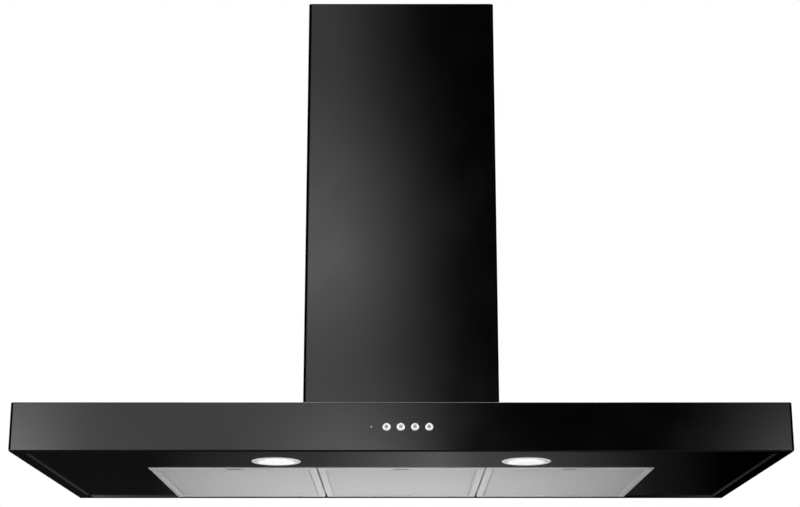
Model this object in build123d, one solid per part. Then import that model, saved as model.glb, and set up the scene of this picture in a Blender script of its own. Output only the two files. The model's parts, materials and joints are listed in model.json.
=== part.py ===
"""Wall-mounted chimney range hood: slim canopy, telescopic chimney, blower, hinged grease filters.

Frame: millimetres, +Z up, +Y towards the wall.
The origin is under the middle of the canopy, and z = 0 is its lowest lip.
"""
from build123d import *
import math
import os

# Canopy
WIDTH = 1100
DEPTH = 520
HEIGHT = 70
SHEET = 1.2
LIP = 20                # width of the folded lip around the underside
HEM = 2                 # thickness of that lip, sheet folded back on itself
REAR_LIP = 8            # width of the same lip along the wall
CORNER_R = 4
TOP_RIM_R = 1.5
LOW_RIM_R = 3
FRONT = -DEPTH / 2
REAR = DEPTH / 2
TOP_INSIDE = HEIGHT - SHEET
TOP_OPENING_HALF_W = 112
TOP_OPENING_FRONT = 12
TOP_OPENING_REAR = 248

# Chimney covers
CHIMNEY_W = 304
CHIMNEY_D = 300
CHIMNEY_TOP = 778
COVER_SHEET = 1.0
COVER_GAP = 0.8         # between the outer and the inner cover
COVER_BEND_R = 5
COVER_FLANGE = 15
COVER_FRONT = REAR - CHIMNEY_D
INNER_COVER_BOTTOM = HEIGHT + 6

# Grease filters, three side by side
FILTER_W = 251
FILTER_PITCH = 254
FILTER_FRONT = -87
FILTER_REAR = 250
FILTER_LOW = 1
FILTER_THICK = 9
FILTER_FRAME = 10
FILTER_GAP = 1          # clearance between the filters and the opening
FILTERS = {"left": -FILTER_PITCH, "middle": 0, "right": FILTER_PITCH}
FILTER_HIGH = FILTER_LOW + FILTER_THICK
FRAME_EDGE_R = 1.3
LAYER = 0.5             # one layer of mesh, as solid metal
GRILLE_Z = 2            # underside of the layer in view
MESH_Z = (4.5, 7)       # undersides of the two layers above it

# Filter latch, in a pocket behind the filter's front bar
LATCH_W = 22
LATCH_TRAVEL = 4
GRIP_Y = 10.5           # the grip's front face, behind the frame's front bar
GRIP_THICK = 2
SLOT_W = LATCH_W + 1
SLOT_FRONT = 1          # ends of the grip's slot, behind the front bar
SLOT_REAR = GRIP_Y + GRIP_THICK + LATCH_TRAVEL + 1.5
POCKET_W = 30
POCKET_D = 32
POCKET_LOW = GRILLE_Z + LAYER + 0.1

# Lamps
LAMP_X = 183
LAMP_Y = -152
LAMP_R = 36
LAMP_HOLE_R = 33
LENS_R = 24
LENS_Z = 7
LENS_THICK = 2.5
CONE_R = 29             # the ring's opening, at its lower end
BEZEL_LOW = 1.1
BEZEL_TOP = 14

# Push buttons, in a row on the front
BUTTON_PITCH = 20
BUTTON_FIRST_X = -20.7
BUTTON_R = 4.8
BUTTON_HOLE_R = 5.5
BUTTON_COUNT = 4
BUTTON_PROUD = 2
BUTTON_Z = HEIGHT / 2
LED_X = BUTTON_FIRST_X - BUTTON_PITCH - 1.3
LED_R = 2
LED_HOLE_R = 2.4
FRONT_INSIDE = FRONT + SHEET

# Blower box, scroll and wheel; the wheel's axis runs along X
BOX_W = 240
BOX_FRONT = 3
BOX_REAR = 257
BOX_TOP = 360
BOX_FLANGE = 12
AXIS_Y = 106
AXIS_Z = 186
SCROLL_START_R = 92
SCROLL_END_R = 115
SCROLL_START = 84       # degrees, where the outlet's inner wall leaves the spiral
SCROLL_HALF_W = 75
WHEEL_R = 85
WHEEL_IN_R = 72
WHEEL_HALF_W = 68
BLADES = 40
SHAFT_R = 4
MOTOR_R = 45
MOTOR_LEFT = -SCROLL_HALF_W - SHEET
MOTOR_RIGHT = -12
RUNNING = 0.05          # radial clearance of a turning fit

# Outlet collar and its two non-return flaps
OUTLET_Y = 168
OUTLET_R = 75
OUTLET_WALL = 3
OUTLET_TOP = BOX_TOP + 50
FLAP_Z = BOX_TOP + 22
FLAP_OFFSET = 5         # each flap's hinge line from the collar's centre
FLAP_PIN_R = 2

# Fixings
SCREW_R = 2
SCREW_HOLE_R = 2.1
WALL_HOLE_R = 4
WALL_HOLES_X = 700
WALL_HOLES_Z = 34
WALL_HOLES_MID_Z = 36
BRACKET_Z = 745
BRACKET_HOLES_X = 200


def block(x0, x1, y0, y1, z0, z1):
    """A box between two corners."""
    middle = Pos((x0 + x1) / 2, (y0 + y1) / 2, (z0 + z1) / 2)
    return middle * Box(x1 - x0, y1 - y0, z1 - z0)


def along_x(radius, x0, x1, y, z):
    """A cylinder along X."""
    return Pos((x0 + x1) / 2, y, z) * Rot(0, 90, 0) * Cylinder(radius, x1 - x0)


def along_y(radius, x, y0, y1, z):
    """A cylinder along Y."""
    return Pos(x, (y0 + y1) / 2, z) * Rot(90, 0, 0) * Cylinder(radius, y1 - y0)


def along_z(radius, x, y, z0, z1):
    """A cylinder along Z."""
    return Pos(x, y, (z0 + z1) / 2) * Cylinder(radius, z1 - z0)


def screw(x, y, z, turn):
    """A pan-head screw whose head sits on a face at the point, shank going down before it is turned."""
    shank = along_z(SCREW_R, 0, 0, -6, 0)
    head = along_z(4, 0, 0, 0, 2.2)
    head = fillet(head.edges().group_by(Axis.Z)[-1], 1.2)
    drive = block(-2.4, 2.4, -0.5, 0.5, 1.4, 3) + block(-0.5, 0.5, -2.4, 2.4, 1.4, 3)
    return Pos(x, y, z) * turn * (shank + head - drive)


def screws(places, turn=Rot(0, 0, 0)):
    return Compound(children=[screw(x, y, z, turn) for x, y, z in places])


def upright_edges(solid, front_only=False):
    """The vertical edges, or only those on the front side."""
    edges = solid.edges().filter_by(Axis.Z)
    if front_only:
        edges = [edge for edge in edges if edge.center().Y < 0]
    return edges


def rounded_block(x0, x1, y0, y1, z0, z1, radius):
    solid = block(x0, x1, y0, y1, z0, z1)
    return fillet(upright_edges(solid), radius)


def mirrored(places):
    """Each point and its mirror image in X."""
    return [(side * x, y, z) for x, y, z in places for side in (-1, 1)]


# Screw places, shared by the screws and their holes
COVER_SCREWS = mirrored([(144, 0, HEIGHT + COVER_SHEET), (144, 200, HEIGHT + COVER_SHEET)])
BOX_SCREWS = mirrored([(126, 60, HEIGHT + SHEET), (126, 200, HEIGHT + SHEET)])
SCROLL_SCREWS = mirrored([(88, 135, BOX_TOP), (88, 205, BOX_TOP)])
COLLAR_SCREWS = mirrored([(57.5, OUTLET_Y - 57.5, BOX_TOP + 3), (57.5, OUTLET_Y + 57.5, BOX_TOP + 3)])
BRACKET_SCREW_Y = 238
MOTOR_ARM_ANGLES = (90, 210, 330)
MOTOR_SCREW_R = 80


def canopy_shell():
    """Top, front, sides and the lip all around the underside, open at the rear above the lip."""
    outer = block(-WIDTH / 2, WIDTH / 2, FRONT, REAR, 0, HEIGHT)
    outer = fillet(upright_edges(outer, front_only=True), CORNER_R)
    for z, radius in ((0, LOW_RIM_R), (HEIGHT, TOP_RIM_R)):
        level = [edge for edge in outer.edges() if abs(edge.center().Z - z) < 0.01]
        rim = [edge for edge in level if edge.center().Y < REAR - 0.1]
        outer = fillet(rim, radius)
    inner = block(-WIDTH / 2 + SHEET, WIDTH / 2 - SHEET, FRONT_INSIDE, REAR + 1, HEM, TOP_INSIDE)
    inner = fillet(upright_edges(inner, front_only=True), CORNER_R - SHEET)
    under = block(LIP - WIDTH / 2, WIDTH / 2 - LIP, FRONT + LIP, REAR - REAR_LIP, -1, HEM + 1)
    shell = outer - inner - under
    half = TOP_OPENING_HALF_W
    shell -= block(-half, half, TOP_OPENING_FRONT, TOP_OPENING_REAR, TOP_INSIDE - 1, HEIGHT + 1)
    for number in range(BUTTON_COUNT):
        x = BUTTON_FIRST_X + number * BUTTON_PITCH
        shell -= along_y(BUTTON_HOLE_R, x, FRONT - 1, FRONT_INSIDE + 1, BUTTON_Z)
    shell -= along_y(LED_HOLE_R, LED_X, FRONT - 1, FRONT_INSIDE + 1, BUTTON_Z)
    for x, y, _ in COVER_SCREWS + BOX_SCREWS:
        shell -= along_z(SCREW_HOLE_R, x, y, TOP_INSIDE - 1, HEIGHT + 1)
    return shell


def bottom_panel():
    """Underside panel on top of the lips, with the filter opening, its upturned flange and the lamp holes."""
    half = WIDTH / 2 - SHEET - 0.3
    front = FRONT_INSIDE + 0.3
    panel = block(-half, half, front, REAR - SHEET, HEM, HEM + SHEET)
    panel = fillet(upright_edges(panel, front_only=True), CORNER_R)
    side = FILTER_PITCH + FILTER_W / 2 + FILTER_GAP
    low_y = FILTER_FRONT - FILTER_GAP
    high_y = FILTER_REAR + 1.5
    flange = block(-side - SHEET, side + SHEET, low_y - SHEET, high_y, HEM, 16)
    for x in FILTERS.values():
        flange -= block(x - 13, x + 13, low_y - 2 * SHEET, low_y + 1, 4, 8)
    panel += flange
    panel -= block(-side, side, low_y, high_y, -1, 17)
    for x in (-LAMP_X, LAMP_X):
        panel -= along_z(LAMP_HOLE_R, x, LAMP_Y, 0, 9)
    return panel


def rear_panel():
    """Back wall of the canopy, standing on the rear lip, with four holes for the wall screws."""
    half = WIDTH / 2 - SHEET - 0.1
    panel = block(-half, half, REAR - SHEET, REAR, HEM, TOP_INSIDE)
    for x in (-WALL_HOLES_X / 2, WALL_HOLES_X / 2):
        for z in (WALL_HOLES_MID_Z - WALL_HOLES_Z / 2, WALL_HOLES_MID_Z + WALL_HOLES_Z / 2):
            panel -= along_y(WALL_HOLE_R, x, REAR - 3, REAR + 1, z)
    return panel


def cover(width, front, rear, low, high, bend):
    """A bent U of sheet, open to the wall, with two short return flanges at its rear edges."""
    half = width / 2
    outer = block(-half, half, front, rear, low, high)
    outer = fillet(upright_edges(outer), bend)
    side = half - COVER_SHEET
    inner = block(-side, side, front + COVER_SHEET, rear - COVER_SHEET, low - 1, high + 1)
    inner = fillet(upright_edges(inner), bend - COVER_SHEET)
    gap = half - COVER_FLANGE
    mouth = block(-gap, gap, rear - 2 * COVER_SHEET, rear + 1, low - 1, high + 1)
    return outer - inner - mouth


def chimney_lower_cover():
    """Outer cover, the one in view, with two screw flanges at the foot."""
    shell = cover(CHIMNEY_W, COVER_FRONT, REAR, HEIGHT, CHIMNEY_TOP, COVER_BEND_R)
    half = CHIMNEY_W / 2 - COVER_SHEET
    for side in (-1, 1):
        x0, x1 = sorted((side * half, side * (half - COVER_FLANGE)))
        shell += block(x0, x1, COVER_FRONT + 20, REAR - 30, HEIGHT, HEIGHT + COVER_SHEET)
    for x, y, _ in COVER_SCREWS:
        shell -= along_z(SCREW_HOLE_R, x, y, HEIGHT - 1, HEIGHT + 2)
    return shell


def inner_cover_size():
    """Width, front and rear of the inner cover."""
    inset = COVER_SHEET + COVER_GAP
    return CHIMNEY_W - 2 * inset, COVER_FRONT + inset, REAR - inset


def chimney_upper_cover():
    """Inner cover, which telescopes upwards; louvres near its top let the recirculated air out."""
    width, front, rear = inner_cover_size()
    shell = cover(width, front, rear, INNER_COVER_BOTTOM, CHIMNEY_TOP - 1, COVER_BEND_R - COVER_GAP)
    shell -= block(-width / 2 - 1, width / 2 + 1, rear - 5.5, rear + 1, BRACKET_Z - 15, CHIMNEY_TOP)
    for row in range(6):
        z = 640 + 12 * row
        for side in (-1, 1):
            x0, x1 = sorted((side * (width / 2 - 2), side * (width / 2 + 1)))
            shell -= block(x0, x1, 40, 170, z, z + 4)
    for side in (-1, 1):
        x0, x1 = sorted((side * (width / 2 - 2), side * (width / 2 + 1)))
        shell -= along_x(SCREW_HOLE_R, x0, x1, BRACKET_SCREW_Y, BRACKET_Z)
    return shell


def chimney_top_bracket():
    """U of steel strip that ties the top of the inner cover to the wall."""
    width, _, rear = inner_cover_size()
    half = width / 2 - COVER_SHEET
    low, high = BRACKET_Z - 10, BRACKET_Z + 10
    strip = block(-half, half, rear - 1.5, rear, low, high)
    for side in (-1, 1):
        x0, x1 = sorted((side * (half - 1.5), side * half))
        strip += block(x0, x1, rear - 30, rear, low, high)
        strip -= along_x(SCREW_HOLE_R, x0 - 1, x1 + 1, BRACKET_SCREW_Y, BRACKET_Z)
        strip -= along_y(3, side * BRACKET_HOLES_X / 2, rear - 3, rear + 1, BRACKET_Z)
    return strip


def chimney_bracket_screws():
    width, _, _ = inner_cover_size()
    half = width / 2 - COVER_SHEET - 1.5
    left = screw(-half, BRACKET_SCREW_Y, BRACKET_Z, Rot(0, 90, 0))
    right = screw(half, BRACKET_SCREW_Y, BRACKET_Z, Rot(0, -90, 0))
    trim = block(-CHIMNEY_W / 2 + 1.4, CHIMNEY_W / 2 - 1.4, 200, 260, 700, 790)
    return Compound(children=[left & trim, right & trim])


def blower_box():
    """Galvanised box around the scroll, open to the canopy below, with a flange on each side."""
    half = BOX_W / 2
    box = block(-half, half, BOX_FRONT, BOX_REAR, HEIGHT, BOX_TOP)
    box -= block(-half + 1, half - 1, BOX_FRONT + 1, BOX_REAR - 1, HEIGHT - 1, BOX_TOP - 1)
    for side in (-1, 1):
        x0, x1 = sorted((side * half, side * (half + BOX_FLANGE)))
        box += block(x0, x1, BOX_FRONT, BOX_REAR, HEIGHT, HEIGHT + SHEET)
    box -= along_z(OUTLET_R - 5, 0, OUTLET_Y, BOX_TOP - 3, BOX_TOP + 1)
    for x, y, _ in BOX_SCREWS:
        box -= along_z(SCREW_HOLE_R, x, y, HEIGHT - 1, HEIGHT + 2)
    for x, y, _ in SCROLL_SCREWS + COLLAR_SCREWS:
        box -= along_z(SCREW_HOLE_R, x, y, BOX_TOP - 2, BOX_TOP + 1)
    return box


def scroll_radius(degrees):
    share = (degrees - SCROLL_START) / (360 - SCROLL_START)
    return SCROLL_START_R + (SCROLL_END_R - SCROLL_START_R) * share


def scroll_outline(shrink):
    """The scroll's side view: a spiral that ends in a straight outlet going up, drawn in Y and Z."""
    top = BOX_TOP - 1
    points = []
    for degrees in range(SCROLL_START, 361, 12):
        radius = scroll_radius(degrees) - shrink
        angle = math.radians(degrees)
        points.append((0, AXIS_Y + radius * math.cos(angle), AXIS_Z + radius * math.sin(angle)))
    inner_y = points[0][1] + shrink
    outer_y = points[-1][1]
    spiral = Spline(*points)
    up = Line(points[-1], (0, outer_y, top))
    across = Line((0, outer_y, top), (0, inner_y, top))
    back = Line((0, inner_y, top), (0, inner_y, points[0][2]))
    edges = [spiral, up, across, back]
    if shrink:
        edges.append(Line((0, inner_y, points[0][2]), points[0]))
    return make_face(Wire(edges))


def slab_along_x(face, x0, x1):
    """The face, drawn at x = 0, swept from x0 to x1."""
    return Pos(x0, 0, 0) * extrude(face, amount=x1 - x0, dir=(1, 0, 0))


def scroll_wrap():
    """The spiral sheet and the outlet's front and rear walls."""
    solid = slab_along_x(scroll_outline(0), -SCROLL_HALF_W, SCROLL_HALF_W)
    hollow = slab_along_x(scroll_outline(1), -SCROLL_HALF_W - 1, SCROLL_HALF_W + 1)
    top_cut = block(-90, 90, AXIS_Y + 11, AXIS_Y + SCROLL_END_R - 1, BOX_TOP - 5, BOX_TOP + 1)
    return solid - hollow - top_cut


def scroll_side(side):
    """One side plate of the scroll, with its inlet ring and a top flange."""
    x_in, x_out = side * SCROLL_HALF_W, side * (SCROLL_HALF_W + SHEET)
    x0, x1 = sorted((x_in, x_out))
    plate = slab_along_x(scroll_outline(0), x0, x1)
    plate -= along_x(WHEEL_IN_R - 2, x0 - 1, x1 + 1, AXIS_Y, AXIS_Z)
    b0, b1 = sorted((side * (SCROLL_HALF_W - 4), x_out))
    bell = along_x(WHEEL_IN_R, b0, b1, AXIS_Y, AXIS_Z)
    plate += bell - along_x(WHEEL_IN_R - 2, b0 - 1, b1 + 1, AXIS_Y, AXIS_Z)
    f0, f1 = sorted((x_in, side * (SCROLL_HALF_W + 18)))
    plate += block(f0, f1, AXIS_Y + 20, AXIS_Y + SCROLL_END_R, BOX_TOP - 1 - SHEET, BOX_TOP - 1)
    for x, y, _ in SCROLL_SCREWS:
        plate -= along_z(SCREW_HOLE_R, x, y, BOX_TOP - 4, BOX_TOP)
    for degrees in MOTOR_ARM_ANGLES:
        y = AXIS_Y + MOTOR_SCREW_R * math.cos(math.radians(degrees))
        z = AXIS_Z + MOTOR_SCREW_R * math.sin(math.radians(degrees))
        if side < 0:
            plate -= along_x(SCREW_HOLE_R, x0 - 1, x1 + 1, y, z)
    return plate


def blade():
    """One forward-curved blade over the wheel's whole width."""
    y0 = AXIS_Y + WHEEL_IN_R + 0.5
    y1 = AXIS_Y + WHEEL_R - 0.5
    middle = (y0 + y1) / 2
    low = ThreePointArc((0, y0, AXIS_Z), (0, middle, AXIS_Z + 0.6), (0, y1, AXIS_Z + 5))
    high = ThreePointArc((0, y1, AXIS_Z + 5.9), (0, middle, AXIS_Z + 1.5), (0, y0, AXIS_Z + 0.8))
    ends = [Line(low @ 1, high @ 0), Line(high @ 1, low @ 0)]
    face = make_face(Wire([low, ends[0], high, ends[1]]))
    return slab_along_x(face, -WHEEL_HALF_W + 1, WHEEL_HALF_W - 1)


def impeller():
    """Double-inlet wheel: middle disc with a hub, two end rings and the blades between them."""
    wheel = along_x(WHEEL_R, -1, 1, AXIS_Y, AXIS_Z) + along_x(12, -5, 12, AXIS_Y, AXIS_Z)
    wheel -= along_x(SHAFT_R, -20, 20, AXIS_Y, AXIS_Z)
    ring = along_x(WHEEL_R, 0, 2, AXIS_Y, AXIS_Z) - along_x(WHEEL_IN_R, -1, 3, AXIS_Y, AXIS_Z)
    wheel += Pos(-WHEEL_HALF_W, 0, 0) * ring
    wheel += Pos(WHEEL_HALF_W - 2, 0, 0) * ring
    spin = Axis((0, AXIS_Y, AXIS_Z), (1, 0, 0))
    first = blade()
    wheel += [first.rotate(spin, 360 / BLADES * number) for number in range(BLADES)]
    return wheel


def motor_body():
    """Motor can with its front boss and the shaft's bore."""
    can = along_x(MOTOR_R, MOTOR_LEFT, MOTOR_RIGHT - 4, AXIS_Y, AXIS_Z)
    can = fillet(can.edges().filter_by(GeomType.CIRCLE), 3)
    can += along_x(14, MOTOR_RIGHT - 6, MOTOR_RIGHT, AXIS_Y, AXIS_Z)
    return can - along_x(SHAFT_R + RUNNING, MOTOR_RIGHT - 40, MOTOR_RIGHT + 1, AXIS_Y, AXIS_Z)


def motor_shaft():
    return along_x(SHAFT_R, MOTOR_RIGHT - 39, 20, AXIS_Y, AXIS_Z)


def motor_bracket():
    """Three arms from the motor's back to the left side plate."""
    x1 = -SCROLL_HALF_W - SHEET
    bracket = along_x(30, x1 - 1.5, x1, AXIS_Y, AXIS_Z)
    arm = block(x1 - 1.5, x1, AXIS_Y, AXIS_Y + 87, AXIS_Z - 7, AXIS_Z + 7)
    arm -= along_x(SCREW_HOLE_R, x1 - 3, x1 + 1, AXIS_Y + MOTOR_SCREW_R, AXIS_Z)
    spin = Axis((0, AXIS_Y, AXIS_Z), (1, 0, 0))
    for degrees in MOTOR_ARM_ANGLES:
        bracket += arm.rotate(spin, degrees)
    return bracket


def motor_screws():
    x = -SCROLL_HALF_W - SHEET - 1.5
    one = screw(x, AXIS_Y + MOTOR_SCREW_R, AXIS_Z, Rot(0, -90, 0))
    one &= block(x - 5, -SCROLL_HALF_W, 0, 300, 0, 300)
    spin = Axis((0, AXIS_Y, AXIS_Z), (1, 0, 0))
    return Compound(children=[one.rotate(spin, degrees) for degrees in MOTOR_ARM_ANGLES])


def run_capacitor():
    """Motor capacitor standing against the box's left wall."""
    can = along_z(14, -BOX_W / 2 + 15, 50, 250, 312)
    can = fillet(can.edges().filter_by(GeomType.CIRCLE), 2)
    tags = block(-BOX_W / 2 + 10, -BOX_W / 2 + 11, 46, 52, 311, 320)
    tags += block(-BOX_W / 2 + 19, -BOX_W / 2 + 20, 46, 52, 311, 320)
    return can + tags


def outlet_collar():
    """Plastic spigot that the exhaust duct slides over, with a cross bar and a ledge for the two flaps."""
    inside = OUTLET_R - OUTLET_WALL
    collar = along_z(OUTLET_R, 0, OUTLET_Y, BOX_TOP, OUTLET_TOP)
    collar += along_z(OUTLET_R + 12, 0, OUTLET_Y, BOX_TOP, BOX_TOP + 3)
    collar -= along_z(inside, 0, OUTLET_Y, BOX_TOP - 1, OUTLET_TOP + 1)
    ledge = along_z(inside + 1, 0, OUTLET_Y, FLAP_Z - 3, FLAP_Z - 1.1)
    ledge -= along_z(inside - 3, 0, OUTLET_Y, FLAP_Z - 4, FLAP_Z)
    ledge -= block(-inside + 0.5, inside - 0.5, OUTLET_Y - 9, OUTLET_Y + 9, FLAP_Z - 4, FLAP_Z)
    collar += ledge
    collar += block(-inside - 1, inside + 1, OUTLET_Y - 1.5, OUTLET_Y + 1.5, FLAP_Z - 8, FLAP_Z + 6)
    for side in (-1, 1):
        y = OUTLET_Y + side * FLAP_OFFSET
        collar -= along_x(FLAP_PIN_R + RUNNING, -OUTLET_R + 0.5, OUTLET_R - 0.5, y, FLAP_Z)
    for x, y, _ in COLLAR_SCREWS:
        collar -= along_z(SCREW_HOLE_R, x, y, BOX_TOP - 1, BOX_TOP + 4)
    return collar


def flap(side):
    """Half-round non-return flap on its own hinge pins; side is -1 for the front one."""
    reach = OUTLET_R - OUTLET_WALL - 1
    y = OUTLET_Y + side * FLAP_OFFSET
    disc = along_z(reach, 0, OUTLET_Y, FLAP_Z - 0.75, FLAP_Z + 0.75)
    y0, y1 = sorted((y, OUTLET_Y + side * OUTLET_R))
    leaf = disc & block(-reach, reach, y0, y1, FLAP_Z - 1, FLAP_Z + 1)
    leaf += along_x(2.5, -reach + 2, reach - 2, y, FLAP_Z)
    return leaf + along_x(FLAP_PIN_R, -OUTLET_R + 1, OUTLET_R - 1, y, FLAP_Z)


def terminal_box():
    """Plastic mains box on the front of the blower box, with a hole on top for the cable gland."""
    box = block(-60, 60, BOX_FRONT - 32, BOX_FRONT, 200, 290)
    box -= block(-58, 58, BOX_FRONT - 33, BOX_FRONT - 2, 202, 288)
    return box - along_z(8.1, 30, BOX_FRONT - 16, 285, 295)


def terminal_lid():
    lid = block(-60, 60, BOX_FRONT - 34, BOX_FRONT - 32, 200, 290)
    return fillet(lid.edges().filter_by(Axis.Y), 1.5)


def terminal_strip():
    """Five-way screw terminal inside the mains box."""
    strip = block(-30, 20, BOX_FRONT - 22, BOX_FRONT - 2, 215, 233)
    for number in range(5):
        strip -= along_y(3, -25 + 10 * number, BOX_FRONT - 23, BOX_FRONT - 14, 224)
    return strip


def cable_gland():
    """Strain relief for the mains cable: a threaded body with a nut, bored for the cable."""
    x, y = 30, BOX_FRONT - 16
    gland = along_z(8, x, y, 280, 292)
    gland += Pos(x, y, 294) * extrude(RegularPolygon(11, 6), amount=4, both=True)
    gland += along_z(8.5, x, y, 298, 308)
    return gland - along_z(4, x, y, 270, 320)


def led_driver():
    """Lamp power supply under the canopy's top, near its left end."""
    body = rounded_block(-480, -380, -60, -20, 40, TOP_INSIDE, 3)
    return body + block(-492, -368, -50, -30, TOP_INSIDE - 2, TOP_INSIDE)


def button(number):
    """One push button: cap with a dished face, retaining flange and stem."""
    x = BUTTON_FIRST_X + number * BUTTON_PITCH
    cap = along_y(BUTTON_R, x, FRONT - BUTTON_PROUD, FRONT + 7, BUTTON_Z)
    face = [edge for edge in cap.edges().filter_by(GeomType.CIRCLE) if edge.center().Y < FRONT]
    cap = chamfer(face, 0.6)
    cap += along_y(BUTTON_R + 1.4, x, FRONT_INSIDE + 0.3, FRONT_INSIDE + 1.5, BUTTON_Z)
    cap += along_y(2, x, FRONT + 6, FRONT + 14, BUTTON_Z)
    return cap - along_y(BUTTON_R - 1.4, x, FRONT - BUTTON_PROUD - 1, FRONT - BUTTON_PROUD + 0.5, BUTTON_Z)


def switch_carrier():
    """Plastic bridge behind the front that guides the buttons and the indicator."""
    carrier = block(-54, 56, FRONT + 9, FRONT + 11, 18, 52)
    for x in (-54, 53):
        carrier += block(x, x + 3, FRONT_INSIDE, FRONT + 19, 18, 52)
    for number in range(BUTTON_COUNT):
        x = BUTTON_FIRST_X + number * BUTTON_PITCH
        carrier -= along_y(2.1, x, FRONT + 8, FRONT + 12, BUTTON_Z)
    return carrier - along_y(LED_R + 0.1, LED_X, FRONT + 8, FRONT + 12, BUTTON_Z)


def control_board():
    """Circuit board across the carrier's ends."""
    return block(-54, 56, FRONT + 19, FRONT + 20.6, 16, 54)


def key_switches():
    """One key switch on the board behind each button."""
    switches = []
    for number in range(BUTTON_COUNT):
        x = BUTTON_FIRST_X + number * BUTTON_PITCH
        body = block(x - 3, x + 3, FRONT + 16.8, FRONT + 19, BUTTON_Z - 3, BUTTON_Z + 3)
        switches.append(body + along_y(1.5, x, FRONT + 15.8, FRONT + 17, BUTTON_Z))
    return Compound(children=switches)


def status_led():
    """Indicator with a domed tip just proud of the front."""
    lens = along_y(LED_R, LED_X, FRONT - 1, FRONT + 19, BUTTON_Z)
    tip = [edge for edge in lens.edges().filter_by(GeomType.CIRCLE) if edge.center().Y < FRONT]
    return fillet(tip, 0.9)


def revolved(points, x, y):
    """A closed outline of radius and height pairs, turned about a vertical axis."""
    outline = Polyline(*[(radius, 0, height) for radius, height in points], close=True)
    return Pos(x, y, 0) * revolve(make_face(outline), Axis.Z)


def lamp_bezel(x):
    """Chromed ring: a flange under the panel, then a cone that narrows up to the lens."""
    inside = [(CONE_R, BEZEL_LOW), (LENS_R, LENS_Z - 1), (LENS_R, BEZEL_TOP)]
    outside = [(LENS_R + 1.5, BEZEL_TOP), (LENS_R + 1.5, LENS_Z), (CONE_R + 1, HEM)]
    flange = [(LAMP_R, HEM), (LAMP_R - 1.5, BEZEL_LOW)]
    profile = flange + inside + outside
    return revolved(profile, x, LAMP_Y)


def lamp_lens(x):
    """Frosted disc inside the ring."""
    return along_z(LENS_R, x, LAMP_Y, LENS_Z, LENS_Z + LENS_THICK)


def lamp_housing(x):
    """Can behind the panel that holds the lamp."""
    can = along_z(LENS_R + 3.5, x, LAMP_Y, 8, 42)
    can -= along_z(LENS_R + 1.5, x, LAMP_Y, 7, 40)
    return can + along_z(9, x, LAMP_Y, 42, 50)


def lamp_module(x):
    """Light source: a heat sink disc with a small emitter under it."""
    return along_z(LENS_R, x, LAMP_Y, 16, 26) + along_z(9, x, LAMP_Y, 14.5, 16)


def filter_frame(x):
    """Aluminium filter frame: four rounded bars, rear tabs, and the latch's pocket behind the front bar."""
    half = FILTER_W / 2
    bar = FILTER_FRAME
    outer = rounded_block(x - half, x + half, FILTER_FRONT, FILTER_REAR, FILTER_LOW, FILTER_HIGH, 2)
    inner = block(
        x - half + bar, x + half - bar, FILTER_FRONT + bar, FILTER_REAR - bar, FILTER_LOW - 1, FILTER_HIGH + 1
    )
    frame = outer - inner
    frame = fillet(frame.faces().sort_by(Axis.Z)[0].edges(), FRAME_EDGE_R)
    back = FILTER_FRONT + bar
    slot_half = SLOT_W / 2
    frame += block(x - POCKET_W / 2, x + POCKET_W / 2, back, back + POCKET_D, POCKET_LOW, FILTER_HIGH)
    frame -= block(x - slot_half, x + slot_half, back, back + POCKET_D - 2, POCKET_LOW + 1, 8.5)
    frame -= block(x - slot_half, x + slot_half, back + SLOT_FRONT, back + SLOT_REAR, 0, POCKET_LOW + 2)
    frame -= block(x - slot_half, x + slot_half, FILTER_FRONT - 1, back + 1, 4.6, 6.9)
    for offset in (-80, 80):
        frame += block(x + offset - 10, x + offset + 10, FILTER_REAR - 1, FILTER_REAR + 6, 4, 5.2)
    return frame


def filter_layer(x, z):
    """One layer of mesh, a plain sheet that fills the frame."""
    half = FILTER_W / 2 - FILTER_FRAME
    return block(x - half, x + half, FILTER_FRONT + FILTER_FRAME, FILTER_REAR - FILTER_FRAME, z, z + LAYER)


def filter_grille(x):
    """The layer in view, with a slot for the latch's grip."""
    back = FILTER_FRONT + FILTER_FRAME
    half = SLOT_W / 2
    slot = block(x - half, x + half, back + SLOT_FRONT, back + SLOT_REAR, GRILLE_Z - 1, GRILLE_Z + 1)
    return filter_layer(x, GRILLE_Z) - slot


def filter_mesh(x):
    """The two layers above it, cut back around the latch's pocket."""
    front = FILTER_FRONT + FILTER_FRAME
    pocket = block(x - POCKET_W / 2, x + POCKET_W / 2, front - 1, front + POCKET_D, GRILLE_Z, FILTER_HIGH)
    return Compound(children=[filter_layer(x, z) - pocket for z in MESH_Z])


def filter_latch(x):
    """Sliding latch: a flat bolt through the front bar and a finger grip in the pocket's slot."""
    y0 = FILTER_FRONT - 0.6
    back = FILTER_FRONT + FILTER_FRAME
    bolt = block(x - LATCH_W / 2, x + LATCH_W / 2, y0, back + 16, 5, 6.5)
    grip_half = LATCH_W / 2 - 0.5
    grip = block(x - grip_half, x + grip_half, back + GRIP_Y, back + GRIP_Y + GRIP_THICK, GRILLE_Z, 5)
    return bolt + grip


def filter_latch_spring(x):
    """Compression spring behind the bolt."""
    back = FILTER_FRONT + FILTER_FRAME
    coil = Helix(pitch=1.6, height=8, radius=1.6)
    wire = sweep(Plane(origin=coil @ 0, z_dir=coil % 0) * Circle(0.3), coil)
    return Pos(x, back + 16.3, 5.75) * Rot(-90, 0, 0) * wire


def save(name, shape):
    export_step(shape, f"parts/{name}.step")


def save_structure():
    save("canopy_shell", canopy_shell())
    save("bottom_panel", bottom_panel())
    save("rear_panel", rear_panel())
    save("chimney_lower_cover", chimney_lower_cover())
    save("chimney_upper_cover", chimney_upper_cover())
    save("chimney_top_bracket", chimney_top_bracket())
    save("chimney_bracket_screws", chimney_bracket_screws())
    save("chimney_cover_screws", screws(COVER_SCREWS))


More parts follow.
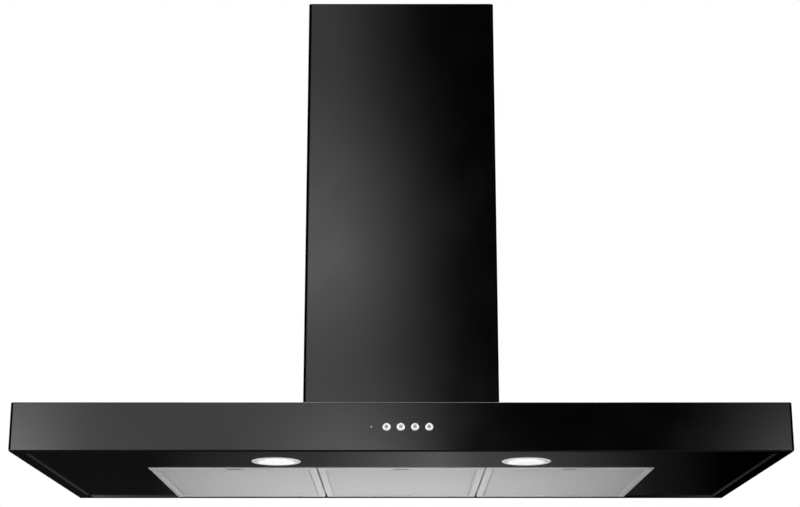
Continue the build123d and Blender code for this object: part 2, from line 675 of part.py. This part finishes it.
def save_blower():
    save("blower_box", blower_box())
    save("blower_box_screws", screws(BOX_SCREWS))
    save("scroll_wrap", scroll_wrap())
    save("scroll_side_left", scroll_side(-1))
    save("scroll_side_right", scroll_side(1))
    save("scroll_screws", screws(SCROLL_SCREWS))
    save("impeller", impeller())
    save("motor_body", motor_body())
    save("motor_shaft", motor_shaft())
    save("motor_bracket", motor_bracket())
    save("motor_bracket_screws", motor_screws())
    save("run_capacitor", run_capacitor())
    save("outlet_collar", outlet_collar())
    save("collar_screws", screws(COLLAR_SCREWS))
    save("flap_front", flap(-1))
    save("flap_rear", flap(1))


def save_electrics():
    save("terminal_box", terminal_box())
    save("terminal_lid", terminal_lid())
    save("terminal_strip", terminal_strip())
    save("cable_gland", cable_gland())
    save("led_driver", led_driver())
    save("switch_carrier", switch_carrier())
    save("control_board", control_board())
    save("key_switches", key_switches())
    save("status_led", status_led())
    for number in range(BUTTON_COUNT):
        save(f"button_{number + 1}", button(number))
    for side, x in (("left", -LAMP_X), ("right", LAMP_X)):
        save(f"lamp_bezel_{side}", lamp_bezel(x))
        save(f"lamp_lens_{side}", lamp_lens(x))
        save(f"lamp_housing_{side}", lamp_housing(x))
        save(f"lamp_module_{side}", lamp_module(x))


def save_filters():
    for name, x in FILTERS.items():
        save(f"filter_frame_{name}", filter_frame(x))
        save(f"filter_grille_{name}", filter_grille(x))
        save(f"filter_mesh_{name}", filter_mesh(x))
        save(f"filter_latch_{name}", filter_latch(x))
        save(f"latch_spring_{name}", filter_latch_spring(x))


os.makedirs("parts", exist_ok=True)
save_structure()
save_blower()
save_electrics()
save_filters()
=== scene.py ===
"""Looks of a black wall-mounted chimney hood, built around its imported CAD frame.

Metres, +Z up, +Y towards the wall, the origin under the middle of the canopy.
"""
import json
import math

import bmesh
import bpy
from mathutils import Matrix, Vector


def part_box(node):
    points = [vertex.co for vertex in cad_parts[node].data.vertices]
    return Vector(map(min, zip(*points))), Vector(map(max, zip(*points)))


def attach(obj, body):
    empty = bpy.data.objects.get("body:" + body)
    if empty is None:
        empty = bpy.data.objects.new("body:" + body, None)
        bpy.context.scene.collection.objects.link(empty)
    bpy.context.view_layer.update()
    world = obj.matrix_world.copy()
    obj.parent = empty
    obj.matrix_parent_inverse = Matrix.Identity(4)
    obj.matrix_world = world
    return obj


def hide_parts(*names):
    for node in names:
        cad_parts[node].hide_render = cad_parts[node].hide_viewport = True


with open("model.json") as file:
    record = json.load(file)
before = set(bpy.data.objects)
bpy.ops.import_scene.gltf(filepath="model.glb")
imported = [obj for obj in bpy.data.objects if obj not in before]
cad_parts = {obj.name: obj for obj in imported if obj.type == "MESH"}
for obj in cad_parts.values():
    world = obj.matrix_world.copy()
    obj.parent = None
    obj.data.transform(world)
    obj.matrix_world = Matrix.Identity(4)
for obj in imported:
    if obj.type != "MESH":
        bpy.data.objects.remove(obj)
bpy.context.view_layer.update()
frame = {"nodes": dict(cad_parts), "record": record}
nodes = frame["nodes"]
MM = 0.001

# ---------------------------------------------------------------- materials

def new_material(name):
    """An empty node material with one Principled shader, its tree and that shader."""
    material = bpy.data.materials.new(name)
    material.use_nodes = True
    tree = material.node_tree
    tree.nodes.clear()
    output = tree.nodes.new("ShaderNodeOutputMaterial")
    shader = tree.nodes.new("ShaderNodeBsdfPrincipled")
    tree.links.new(shader.outputs["BSDF"], output.inputs["Surface"])
    return material, tree, shader


def coordinates(tree, stretch=(1, 1, 1)):
    """The piece's own coordinates in metres, stretched along its axes."""
    source = tree.nodes.new("ShaderNodeTexCoord")
    mapping = tree.nodes.new("ShaderNodeMapping")
    mapping.inputs["Scale"].default_value = stretch
    tree.links.new(source.outputs["Object"], mapping.inputs["Vector"])
    return mapping.outputs["Vector"]


def noise(tree, scale, detail=2.0, stretch=(1, 1, 1)):
    """A noise value from 0 to 1; scale is in features per metre."""
    texture = tree.nodes.new("ShaderNodeTexNoise")
    texture.inputs["Scale"].default_value = scale
    texture.inputs["Detail"].default_value = detail
    tree.links.new(coordinates(tree, stretch), texture.inputs["Vector"])
    return texture.outputs["Fac"]


def cells(tree, scale, feature="F1"):
    """A Voronoi texture node; scale is in cells per metre."""
    texture = tree.nodes.new("ShaderNodeTexVoronoi")
    texture.feature = feature
    texture.inputs["Scale"].default_value = scale
    tree.links.new(coordinates(tree), texture.inputs["Vector"])
    return texture


def remap(tree, value, low, high, from_low=0.3, from_high=0.7):
    """The value moved from one range to another."""
    node = tree.nodes.new("ShaderNodeMapRange")
    node.inputs["From Min"].default_value = from_low
    node.inputs["From Max"].default_value = from_high
    node.inputs["To Min"].default_value = low
    node.inputs["To Max"].default_value = high
    tree.links.new(value, node.inputs["Value"])
    return node.outputs["Result"]


def ramp(tree, value, stops):
    """Colours along a value; stops are (position, (r, g, b)) pairs."""
    node = tree.nodes.new("ShaderNodeValToRGB")
    elements = node.color_ramp.elements
    while len(elements) < len(stops):
        elements.new(0.5)
    for element, (position, colour) in zip(elements, stops):
        element.position = position
        element.color = (*colour, 1)
    tree.links.new(value, node.inputs["Fac"])
    return node.outputs["Color"]


def bump(tree, shader, height, distance):
    """Adds a height, of so many metres of relief, to the shader's normal."""
    node = tree.nodes.new("ShaderNodeBump")
    node.inputs["Distance"].default_value = distance
    node.inputs["Strength"].default_value = 1
    tree.links.new(height, node.inputs["Height"])
    already = shader.inputs["Normal"]
    if already.is_linked:
        tree.links.new(already.links[0].from_socket, node.inputs["Normal"])
    tree.links.new(node.outputs["Normal"], already)


def black_enamel():
    """Semi-gloss black enamel on steel, with a faint orange peel and dust-fine unevenness in its gloss."""
    material, tree, shader = new_material("black_enamel")
    peel = noise(tree, 900, 1.0)
    cloud = noise(tree, 14, 3.0)
    colour = ramp(tree, cloud, [(0.3, (0.0016, 0.0016, 0.0018)), (0.7, (0.0024, 0.0024, 0.0027))])
    tree.links.new(colour, shader.inputs["Base Color"])
    tree.links.new(remap(tree, cloud, 0.105, 0.14), shader.inputs["Roughness"])
    bump(tree, shader, peel, 0.000012)
    shader.inputs["Specular IOR Level"].default_value = 0.55
    return material


def galvanised():
    """Hot-dip zinc with its spangle."""
    material, tree, shader = new_material("galvanised")
    grain = cells(tree, 90)
    shade = ramp(tree, grain.outputs["Color"], [(0.1, (0.36, 0.37, 0.39)), (0.9, (0.58, 0.59, 0.61))])
    tree.links.new(shade, shader.inputs["Base Color"])
    tree.links.new(remap(tree, grain.outputs["Distance"], 0.32, 0.5, 0, 0.6), shader.inputs["Roughness"])
    bump(tree, shader, noise(tree, 220, 3.0), 0.00004)
    shader.inputs["Metallic"].default_value = 1
    return material


def brushed(name, low, high, roughness, stretch, metallic=1.0):
    """Metal with fine lines along one axis."""
    material, tree, shader = new_material(name)
    lines = noise(tree, 500, 3.0, stretch)
    tree.links.new(ramp(tree, lines, [(0.3, low), (0.7, high)]), shader.inputs["Base Color"])
    tree.links.new(remap(tree, lines, roughness * 0.85, roughness * 1.15), shader.inputs["Roughness"])
    bump(tree, shader, lines, 0.00001)
    shader.inputs["Metallic"].default_value = metallic
    return material


def moulded(name, colour, roughness=0.45, grain=0.00003):
    """Moulded plastic with a fine grain."""
    material, tree, shader = new_material(name)
    spots = noise(tree, 1600, 2.0)
    dark = tuple(channel * 0.85 for channel in colour)
    shade = ramp(tree, noise(tree, 60, 3.0), [(0.3, dark), (0.7, colour)])
    tree.links.new(shade, shader.inputs["Base Color"])
    tree.links.new(remap(tree, spots, roughness * 0.85, roughness * 1.15), shader.inputs["Roughness"])
    bump(tree, shader, spots, grain)
    return material


def polished(name, low, high, roughness, metallic=1.0):
    """Bright plated metal with a little clouding."""
    material, tree, shader = new_material(name)
    cloud = noise(tree, 120, 3.0)
    tree.links.new(ramp(tree, cloud, [(0.3, low), (0.7, high)]), shader.inputs["Base Color"])
    tree.links.new(remap(tree, cloud, roughness, roughness * 1.6), shader.inputs["Roughness"])
    shader.inputs["Metallic"].default_value = metallic
    return material


def frosted_lens():
    """Frosted glass with a faint glow."""
    material, tree, shader = new_material("frosted_lens")
    pores = noise(tree, 2500, 2.0)
    shade = ramp(tree, pores, [(0.3, (0.9, 0.9, 0.88)), (0.7, (0.97, 0.97, 0.95))])
    tree.links.new(shade, shader.inputs["Base Color"])
    shader.inputs["Roughness"].default_value = 0.35
    shader.inputs["Emission Color"].default_value = (1, 0.985, 0.95, 1)
    shader.inputs["Emission Strength"].default_value = LAMP_GLOW
    bump(tree, shader, pores, 0.00003)
    return material


def indicator_lens_painted_glint():
    """Unlit indicator: a dark smoked lens under a clear coat, given a pale base colour as a painted highlight
    for its glint.
    """
    material, tree, shader = new_material("indicator_lens_painted_glint")
    haze = noise(tree, 800, 2.0)
    # painted highlight: the pale grey base colour stands in for the glint on a dark lens
    shade = ramp(tree, haze, [(0.3, (0.42, 0.43, 0.45)), (0.7, (0.52, 0.53, 0.55))])
    tree.links.new(shade, shader.inputs["Base Color"])
    tree.links.new(remap(tree, haze, 0.06, 0.12), shader.inputs["Roughness"])
    shader.inputs["Coat Weight"].default_value = 1
    return material


def circuit_board():
    """Green solder mask over faint copper tracks."""
    material, tree, shader = new_material("circuit_board")
    tracks = cells(tree, 260, "DISTANCE_TO_EDGE").outputs["Distance"]
    green = ramp(tree, tracks, [(0.03, (0.05, 0.22, 0.09)), (0.08, (0.02, 0.11, 0.05))])
    tree.links.new(green, shader.inputs["Base Color"])
    shader.inputs["Roughness"].default_value = 0.3
    bump(tree, shader, tracks, 0.00003)
    return material


LAMP_GLOW = 0.12
ENAMEL = black_enamel()
ZINC = galvanised()
FRAME_METAL = brushed("filter_frame_aluminium", (0.62, 0.62, 0.63), (0.8, 0.8, 0.81), 0.42,
                      stretch=(0.03, 1, 1), metallic=0.42)
MESH_METAL = brushed("filter_mesh_aluminium", (0.53, 0.53, 0.54), (0.67, 0.67, 0.68), 0.42,
                     stretch=(1, 0.2, 1), metallic=0.4)
CHROME = polished("lamp_chrome", (0.86, 0.86, 0.87), (0.95, 0.95, 0.96), 0.14, 0.3)
BUTTON_METAL = polished("button_metal", (0.84, 0.84, 0.85), (0.94, 0.94, 0.95), 0.16, 0.6)
ZINC_SCREW = polished("screw_zinc", (0.5, 0.5, 0.51), (0.66, 0.66, 0.66), 0.25)
MOTOR_STEEL = brushed("motor_steel", (0.4, 0.4, 0.42), (0.55, 0.55, 0.57), 0.35, (1, 0.05, 0.05))
LAMP_CAN = brushed("lamp_can_aluminium", (0.5, 0.5, 0.52), (0.66, 0.66, 0.68), 0.35, (0.1, 0.1, 1))
LATCH_METAL = brushed("latch_metal", (0.03, 0.03, 0.032), (0.06, 0.06, 0.063), 0.35, (0.1, 1, 1), 0.6)
BLACK_PLASTIC = moulded("black_plastic", (0.022, 0.022, 0.024))
GREY_PLASTIC = moulded("grey_plastic", (0.36, 0.37, 0.38))
INLAY = moulded("button_inlay", (0.93, 0.93, 0.94), 0.3)
SYMBOL = moulded("button_symbol", (0.25, 0.25, 0.26), 0.4)
WHITE_PLASTIC = moulded("white_plastic", (0.8, 0.8, 0.77), 0.4)

FINISHES = {
    "black_paint": ENAMEL,
    "galvanised": ZINC,
    "filter_aluminium": FRAME_METAL,
    "filter_mesh": MESH_METAL,
    "latch_metal": LATCH_METAL,
    "spring_steel": ZINC_SCREW,
    "lamp_chrome": CHROME,
    "lamp_glass": frosted_lens(),
    "button_metal": BUTTON_METAL,
    "led_lens": indicator_lens_painted_glint(),
    "black_plastic": BLACK_PLASTIC,
    "grey_plastic": GREY_PLASTIC,
    "white_plastic": WHITE_PLASTIC,
    "board": circuit_board(),
    "motor_steel": MOTOR_STEEL,
    "lamp_can": LAMP_CAN,
    "screw_steel": ZINC_SCREW,
}


def finish_cad_nodes():
    """Gives every CAD node the material of its slot in the record."""
    for part in frame["record"]["subparts"]:
        mesh = nodes[part["node"]].data
        mesh.materials.clear()
        mesh.materials.append(FINISHES[part["material_slot"]])


# ---------------------------------------------------------------- pieces

def add_piece(name, mesh, material, body):
    """A mesh object that rides on a body, with the material it is given."""
    piece = bpy.data.objects.new(name, mesh)
    bpy.context.scene.collection.objects.link(piece)
    mesh.materials.append(material)
    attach(piece, body)
    return piece


# Expanded mesh of the filters
CELL_X = 8.0 * MM
CELL_Y = 4.6 * MM
STRAND_X = 1.95 * MM    # metal between two openings along X
STRAND_Y = 1.56 * MM
RISE = 0.6 * MM         # how much higher one end of an opening stands
LAYER = 0.5 * MM
GROOVE = 1.2 * MM       # between the frame's bars and the lower mesh
POCKET_W = 30 * MM
POCKET_D = 32 * MM
SLOT_W = 23 * MM
SLOT_FRONT = 1 * MM
SLOT_REAR = 18 * MM


def expanded_sheet(bm, x0, x1, y0, y1, z, hole, tilt):
    """Expanded metal: rows of diamond openings, each strand tilted, with the cells inside hole left out."""
    columns = round((x1 - x0) / CELL_X)
    rows = round((y1 - y0) / CELL_Y)
    dx = (x1 - x0) / columns
    dy = (y1 - y0) / rows
    corners = {}

    def corner(i, j, lift):
        """A shared strand crossing, at half-cell steps."""
        key = (i, j, lift)
        if key not in corners:
            corners[key] = bm.verts.new((x0 + i * dx / 2, y0 + j * dy / 2, z + lift))
        return corners[key]

    for row in range(2 * rows - 1):
        for column in range(row % 2, 2 * columns - 1, 2):
            cx = x0 + (column + 1) * dx / 2
            cy = y0 + (row + 1) * dy / 2
            if hole[0] < cx < hole[1] and hole[2] < cy < hole[3]:
                continue
            outer = [(column, row + 1), (column + 1, row), (column + 2, row + 1), (column + 1, row + 2)]
            ring = [corner(i, j, 0) for i, j in outer]
            inner = []
            for i, j in outer:
                px = cx + (x0 + i * dx / 2 - cx) * (1 - STRAND_X / dx)
                py = cy + (y0 + j * dy / 2 - cy) * (1 - STRAND_Y / dy)
                inner.append(bm.verts.new((px, py, z + tilt * (py - cy) / dy)))
            for k in range(4):
                m = (k + 1) % 4
                bm.faces.new((ring[k], ring[m], inner[m], inner[k]))


def mesh_piece(name, node, body, layers, inset, hole):
    """Replaces a filter's plain layers with expanded mesh in the same place."""
    low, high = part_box(node)
    bm = bmesh.new()
    for z, tilt in layers:
        expanded_sheet(bm, low.x + inset, high.x - inset, low.y + inset, high.y - inset, z, hole, tilt)
    mesh = bpy.data.meshes.new(name)
    bm.to_mesh(mesh)
    bm.free()
    piece = add_piece(name, mesh, MESH_METAL, body)
    thick = piece.modifiers.new("thickness", "SOLIDIFY")
    thick.thickness = LAYER
    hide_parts(node)
    return piece


def build_filters():
    """Expanded mesh in each filter: one layer below, with a slot for the latch, and two above around it."""
    for side in ("left", "middle", "right"):
        body = f"filter_{side}"
        grille = f"filter_grille_{side}"
        low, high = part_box(grille)
        middle = (low.x + high.x) / 2
        half = (SLOT_W + CELL_X) / 2
        slot = (middle - half, middle + half, low.y + SLOT_FRONT, low.y + SLOT_REAR + CELL_Y)
        mesh_piece(f"filter_lower_mesh_{side}", grille, body, [(low.z + LAYER, RISE)], GROOVE, slot)
        inner = f"filter_mesh_{side}"
        low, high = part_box(inner)
        pocket = (middle - POCKET_W / 2, middle + POCKET_W / 2, low.y - 1, low.y + POCKET_D)
        layers = [(low.z, -RISE), (high.z, RISE)]
        mesh_piece(f"filter_upper_mesh_{side}", inner, body, layers, 0, pocket)


# Inlays and symbols of the push buttons
BUTTONS = range(1, 5)
DISH = 0.5 * MM         # depth of the hollow in a button's face
INLAY_R = 3.3 * MM
INLAY_LIFT = 0.12 * MM
ICON_LIFT = 0.2 * MM
ICON_H = 1.1 * MM
BAR_W = 0.5 * MM
BAR_PITCH = 1.0 * MM
BULB_R = 0.8 * MM
BULB_UP = 0.3 * MM
SOCKET_DOWN = 1.0 * MM
SOCKET_W = 1.0 * MM
SOCKET_H = 0.5 * MM


def disc(bm, x, y, z, radius):
    """A round face across X and Z, looking to the front."""
    made = bmesh.ops.create_circle(bm, cap_ends=True, radius=radius, segments=40)
    turn = Matrix.Translation((x, y, z)) @ Matrix.Rotation(math.radians(90), 4, "X")
    bmesh.ops.transform(bm, matrix=turn, verts=made["verts"])


def thin_piece(name, bm, material, body, thickness):
    """A piece from flat faces, given a thickness away from their front."""
    mesh = bpy.data.meshes.new(name)
    bm.to_mesh(mesh)
    bm.free()
    piece = add_piece(name, mesh, material, body)
    thick = piece.modifiers.new("thickness", "SOLIDIFY")
    thick.thickness = thickness
    return piece


def flat_bar(bm, x, y, z, half_w, half_h):
    """An upright rectangle across X and Z, looking to the front."""
    corners = ((-1, -1), (1, -1), (1, 1), (-1, 1))
    bm.faces.new([bm.verts.new((x + i * half_w, y, z + j * half_h)) for i, j in corners])


def build_icons():
    """Satin inlays in the button caps with generic symbols: a lamp, then one to three bars for the speeds."""
    for number in BUTTONS:
        body = f"button_{number}"
        low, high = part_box(body)
        x = (low.x + high.x) / 2
        z = (low.z + high.z) / 2
        floor = low.y + DISH
        bm = bmesh.new()
        disc(bm, x, floor - INLAY_LIFT, z, INLAY_R)
        thin_piece(f"button_inlay_{number}", bm, INLAY, body, INLAY_LIFT)
        bm = bmesh.new()
        if number == 1:
            disc(bm, x, floor - ICON_LIFT, z + BULB_UP, BULB_R)
            flat_bar(bm, x, floor - ICON_LIFT, z - SOCKET_DOWN, SOCKET_W / 2, SOCKET_H / 2)
        else:
            count = number - 1
            for k in range(count):
                cx = x + (k - (count - 1) / 2) * BAR_PITCH
                flat_bar(bm, cx, floor - ICON_LIFT, z, BAR_W / 2, ICON_H)
        thin_piece(f"button_icon_{number}", bm, SYMBOL, body, ICON_LIFT - INLAY_LIFT)


# ---------------------------------------------------------------- camera, floor and light

CAMERA_PLACE = (-1.8 * MM, -2493 * MM, -344 * MM)
CAMERA_PITCH = 14.79        # degrees upwards
CAMERA_LENS = 72.4          # millimetres, on a sensor 36 mm wide
CAMERA_SHIFT = 0.035
FLOOR_Z = -2.2
FLOOR_R = 14


def build_camera():
    """The camera, in front of the hood, below it and looking up."""
    camera = bpy.data.objects.new("camera", bpy.data.cameras.new("camera"))
    bpy.context.scene.collection.objects.link(camera)
    camera.location = CAMERA_PLACE
    camera.rotation_euler = (math.radians(90 + CAMERA_PITCH), 0, 0)
    camera.data.sensor_width = 36
    camera.data.lens = CAMERA_LENS
    camera.data.shift_y = CAMERA_SHIFT
    camera.data.clip_end = 60
    bpy.context.scene.camera = camera


def math_node(tree, operation, first, second):
    """One arithmetic step; second is a number or a socket."""
    node = tree.nodes.new("ShaderNodeMath")
    node.operation = operation
    tree.links.new(first, node.inputs[0])
    if isinstance(second, (int, float)):
        node.inputs[1].default_value = second
    else:
        tree.links.new(second, node.inputs[1])
    return node.outputs["Value"]


def profile(tree, value, low, high, stops):
    """A curve of (place in metres, level) points along a coordinate; levels may be above 1."""
    top = max(level for _, level in stops)
    share = remap(tree, value, 0, 1, low, high)
    node = tree.nodes.new("ShaderNodeValToRGB")
    elements = node.color_ramp.elements
    while len(elements) < len(stops):
        elements.new(0.5)
    for element, (place, level) in zip(elements, stops):
        element.position = (place - low) / (high - low)
        element.color = (level / top, level / top, level / top, 1)
    tree.links.new(share, node.inputs["Fac"])
    return math_node(tree, "MULTIPLY", node.outputs["Color"], top)


def glow_material(name, terms, x_range, z_range):
    """A light card's emission: a sum of terms, each a curve across the card times a curve up it."""
    material = bpy.data.materials.new(name)
    material.use_nodes = True
    tree = material.node_tree
    tree.nodes.clear()
    output = tree.nodes.new("ShaderNodeOutputMaterial")
    emission = tree.nodes.new("ShaderNodeEmission")
    tree.links.new(emission.outputs["Emission"], output.inputs["Surface"])
    source = tree.nodes.new("ShaderNodeTexCoord")
    split = tree.nodes.new("ShaderNodeSeparateXYZ")
    tree.links.new(source.outputs["Object"], split.inputs["Vector"])
    total = None
    for across, up in terms:
        wide = profile(tree, split.outputs["X"], *x_range, across)
        tall = profile(tree, split.outputs["Z"], *z_range, up)
        both = math_node(tree, "MULTIPLY", wide, tall)
        total = both if total is None else math_node(tree, "ADD", total, both)
    tree.links.new(total, emission.inputs["Strength"])
    return material


def card(name, corners, material):
    """A flat light card that only reflections and light paths see."""
    mesh = bpy.data.meshes.new(name)
    mesh.from_pydata(corners, [], [tuple(range(len(corners)))])
    mesh.materials.append(material)
    piece = bpy.data.objects.new(name, mesh)
    bpy.context.scene.collection.objects.link(piece)
    piece.visible_camera = False
    piece.visible_shadow = False
    return piece


def area_light(name, place, target, size, power, spread=180):
    """A rectangular soft light, unseen by the camera; size is level then upright, in metres."""
    light = bpy.data.lights.new(name, "AREA")
    light.shape = "RECTANGLE"
    light.size, light.size_y = size
    light.energy = power
    light.spread = math.radians(spread)
    holder = bpy.data.objects.new(name, light)
    bpy.context.scene.collection.objects.link(holder)
    holder.location = place
    holder.rotation_euler = (Vector(target) - Vector(place)).to_track_quat("-Z", "Y").to_euler()
    holder.visible_camera = False
    return holder


def build_floor():
    """A plain pale disc that doesn't show in reflections or colour what stands over it."""
    bm = bmesh.new()
    bmesh.ops.create_circle(bm, cap_ends=True, radius=FLOOR_R, segments=96)
    mesh = bpy.data.meshes.new("floor")
    bm.to_mesh(mesh)
    bm.free()
    material, tree, shader = new_material("floor")
    shade = ramp(tree, noise(tree, 3, 4.0), [(0.3, (0.84, 0.84, 0.84)), (0.7, (0.87, 0.87, 0.87))])
    tree.links.new(shade, shader.inputs["Base Color"])
    shader.inputs["Roughness"].default_value = 0.7
    mesh.materials.append(material)
    floor = bpy.data.objects.new("floor", mesh)
    floor.location.z = FLOOR_Z
    bpy.context.scene.collection.objects.link(floor)
    floor.visible_glossy = False
    floor.visible_diffuse = False
    return floor


def link_light(lights, name, members, state):
    """Limits lights to some objects (INCLUDE) or keeps them off those objects (EXCLUDE)."""
    group = bpy.data.collections.new(name)
    for member in members:
        group.objects.link(member)
    for light in lights:
        light.light_linking.receiver_collection = group
        for member in group.collection_objects:
            member.light_linking.link_state = state


WORLD_DARK = 0.0008
WORLD_FILL = 0.25
WORLD_SIDES = 1.0
SIDE_GLOW = (0.35, 0.8)     # sideways part of a direction where the sides turn pale
SIDE_FADE = (0.0, 0.12)     # upward part where they turn dark again
TOP_GLOW = (0.55, 1.0)


def background(tree, strength):
    """White light of a strength, which is a number or a socket."""
    node = tree.nodes.new("ShaderNodeBackground")
    node.inputs["Color"].default_value = (1, 1, 1, 1)
    if isinstance(strength, float):
        node.inputs["Strength"].default_value = strength
    else:
        tree.links.new(strength, node.inputs["Strength"])
    return node.outputs["Background"]


def mixed(tree, switch, off, on):
    """One of two shaders, picked by a switch."""
    node = tree.nodes.new("ShaderNodeMixShader")
    tree.links.new(switch, node.inputs["Fac"])
    tree.links.new(off, node.inputs[1])
    tree.links.new(on, node.inputs[2])
    return node.outputs["Shader"]


def build_world():
    """White to the camera; for reflections a tent, pale overhead and low at the sides and dark elsewhere."""
    world = bpy.data.worlds.new("studio")
    bpy.context.scene.world = world
    world.use_nodes = True
    tree = world.node_tree
    tree.nodes.clear()
    output = tree.nodes.new("ShaderNodeOutputWorld")
    path = tree.nodes.new("ShaderNodeLightPath")
    source = tree.nodes.new("ShaderNodeTexCoord")
    split = tree.nodes.new("ShaderNodeSeparateXYZ")
    tree.links.new(source.outputs["Generated"], split.inputs["Vector"])
    sideways = math_node(tree, "ABSOLUTE", split.outputs["X"], 0)
    level = remap(tree, split.outputs["Z"], 1, 0, *SIDE_FADE)
    side_share = math_node(tree, "MULTIPLY", remap(tree, sideways, 0, 1, *SIDE_GLOW), level)
    top_share = remap(tree, split.outputs["Z"], 0, 1, *TOP_GLOW)
    share = math_node(tree, "MAXIMUM", side_share, top_share)
    fill = background(tree, remap(tree, share, WORLD_DARK, WORLD_FILL, 0, 1))
    tent = background(tree, remap(tree, share, WORLD_DARK, WORLD_SIDES, 0, 1))
    unseen = mixed(tree, path.outputs["Is Glossy Ray"], fill, tent)
    seen = mixed(tree, path.outputs["Is Camera Ray"], unseen, background(tree, 1.0))
    tree.links.new(seen, output.inputs["Surface"])


# Light cards: place along Y, reach along X and Z, and glow. The front card is mirrored in the enamel of the
# front, the low card in the underside.
FRONT_CARD_Y = -5.0
FRONT_CARD_X = (-1.9, 2.1)
FRONT_CARD_Z = (-1.0, 3.6)
FRONT_GLOW = [
    # main panel, ending right of the middle
    ([(-1.9, 1), (-0.2, 1), (0.05, 0.4), (0.22, 0), (2.1, 0)],
     [(-1, 1.1), (1.0, 1.1), (1.4, 1.1), (1.8, 1.0), (2.15, 0.7), (2.5, 0.2), (2.9, 0)]),
    # lower middle
    ([(-0.65, 0), (-0.3, 1), (-0.05, 1), (0.25, 0)],
     [(-1, 2.4), (0.4, 1.9), (0.73, 1.3), (0.95, 0.4), (1.1, 0)]),
    # upper left
    ([(-0.9, 0), (-0.38, 1), (-0.2, 0.4), (0.06, 0)],
     [(1.0, 0), (1.35, 0.45), (1.69, 1.9), (2.15, 1.25), (2.6, 1.1), (3.2, 1.2)]),
    # left end
    ([(-1.9, 3.2), (-1.7, 2.3), (-1.5, 0.5), (-1.33, 0)],
     [(-1, 2.8), (0.6, 1.9), (0.73, 1.5), (0.95, 0.65), (1.5, 0.2)]),
    # right end
    ([(1.32, 0), (1.5, 0.4), (1.78, 1.6), (2.1, 1.8)],
     [(-1, 2.0), (0.6, 1.5), (0.73, 1.1), (0.95, 0.35), (1.5, 0.2)]),
]
LOW_CARD_Y = 3.0
LOW_CARD_X = (-1.4, 1.4)
LOW_CARD_Z = (-0.94, 0)
LOW_GLOW = [
    ([(-1.4, 0.06), (-0.85, 0.05), (-0.65, 0.18), (-0.27, 0.38), (-0.05, 0.75), (0.13, 1.05), (0.27, 0.6),
      (0.6, 0.33), (0.85, 0.08), (1.1, 0)],
     [(-0.94, 0.2), (0, 0.2)]),
]


def upright_card(name, y, x_range, z_range, terms):
    """A glowing rectangle across X and Z."""
    (x0, x1), (z0, z1) = x_range, z_range
    corners = [(x0, y, z0), (x1, y, z0), (x1, y, z1), (x0, y, z1)]
    return card(name, corners, glow_material(name, terms, x_range, z_range))


def light_filters():
    """Soft lights low down, in front and at both sides, where no edge of the enamel mirrors them."""
    place = (0, -0.42, -0.92)
    target = (0, -0.35, 0)
    lights = [area_light("below_front", place, target, size=(1.6, 0.3), power=1.3)]
    for side in (-1, 1):
        place = (1.3 * side, 0.16, -0.9)
        target = (-0.03, 0.16, 0)
        lights.append(area_light(f"below_{side}", place, target, size=(0.8, 0.2), power=1.41, spread=30))
    return lights


def light_floor(floor):
    """A wide sun for the floor alone."""
    sun = bpy.data.lights.new("floor_light", "SUN")
    sun.energy = 2.6
    sun.angle = math.radians(50)
    holder = bpy.data.objects.new("floor_light", sun)
    holder.rotation_euler = (math.radians(12), math.radians(-8), 0)
    bpy.context.scene.collection.objects.link(holder)
    link_light([holder], "floor_own", [floor], "INCLUDE")


def light_lamps():
    """A light on each lamp's bright ring alone, from below and in front."""
    bezels = [nodes[f"lamp_bezel_{side}"] for side in ("left", "right")]
    lights = []
    for bezel in bezels:
        low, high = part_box(bezel.name)
        middle = (low + high) / 2
        place = (middle.x, middle.y - 0.5, -0.3)
        lights.append(area_light(f"below_{bezel.name}", place, middle, size=(0.3, 0.3), power=1.4))
    link_light(lights, "bezel_group", bezels, "INCLUDE")


def light_buttons():
    """A light on the push buttons alone, from the front."""
    kinds = ("button", "button_inlay", "button_icon")
    faces = [bpy.data.objects[f"{kind}_{number}"] for number in BUTTONS for kind in kinds]
    low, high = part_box("button_2")
    place = (0.1, -1.4, 0.2)
    light = area_light("before_buttons", place, (low + high) / 2, size=(0.4, 0.4), power=1.1)
    link_light([light], "button_group", faces, "INCLUDE")


def build_lights(floor):
    """Cards for the long reflections and soft lights, some of them for certain pieces only."""
    front_card = upright_card("card_front", FRONT_CARD_Y, FRONT_CARD_X, FRONT_CARD_Z, FRONT_GLOW)
    low_card = upright_card("card_low", LOW_CARD_Y, LOW_CARD_X, LOW_CARD_Z, LOW_GLOW)
    low_card.visible_diffuse = False
    below = light_filters()
    link_light([front_card] + below, "floor_group", [floor], "EXCLUDE")
    area_light("above", place=(-1.5, -2.0, 3.2), target=(0, 0, 0.3), size=(2.5, 1.5), power=20)
    area_light("overhead", place=(0, 0.5, 3.4), target=(0, 0.1, 0.3), size=(1.5, 1.0), power=60)
    light_floor(floor)
    light_lamps()
    light_buttons()


scene = bpy.context.scene
scene.view_settings.view_transform = "Standard"
build_camera()
build_world()
finish_cad_nodes()
build_filters()
build_icons()
build_lights(build_floor())
